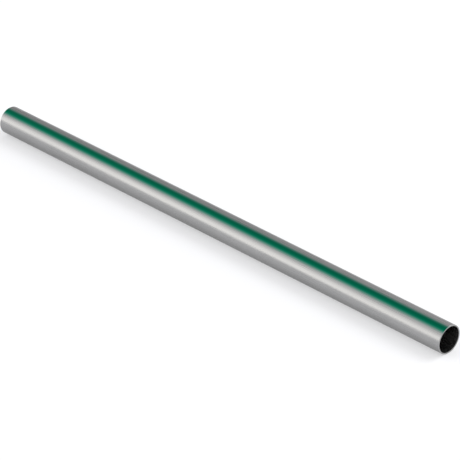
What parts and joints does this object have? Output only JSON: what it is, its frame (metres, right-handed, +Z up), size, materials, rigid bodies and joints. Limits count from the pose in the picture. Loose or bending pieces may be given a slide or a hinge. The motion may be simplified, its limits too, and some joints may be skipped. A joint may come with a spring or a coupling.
{
  "type": "stainless steel pipe",
  "caption": "Straight thin-walled stainless steel pipe with square-cut open ends and a green marking line printed along its whole length.",
  "frame": {"origin": "on the surface that the pipe lies on, under the middle of its length and of its width", "axes": "+X along the pipe, towards the end that the picture shows nearest; +Z up; the marking line is on the upper side, turned towards -Y"},
  "size_m": [0.58, 0.028, 0.028],
  "materials": {
    "stainless_steel": "satin",
    "green_ink": "satin"
  },
  "bodies": {
    "root": {"pipe": "stainless_steel", "green_line": "green_ink"}
  },
  "joints": []
}
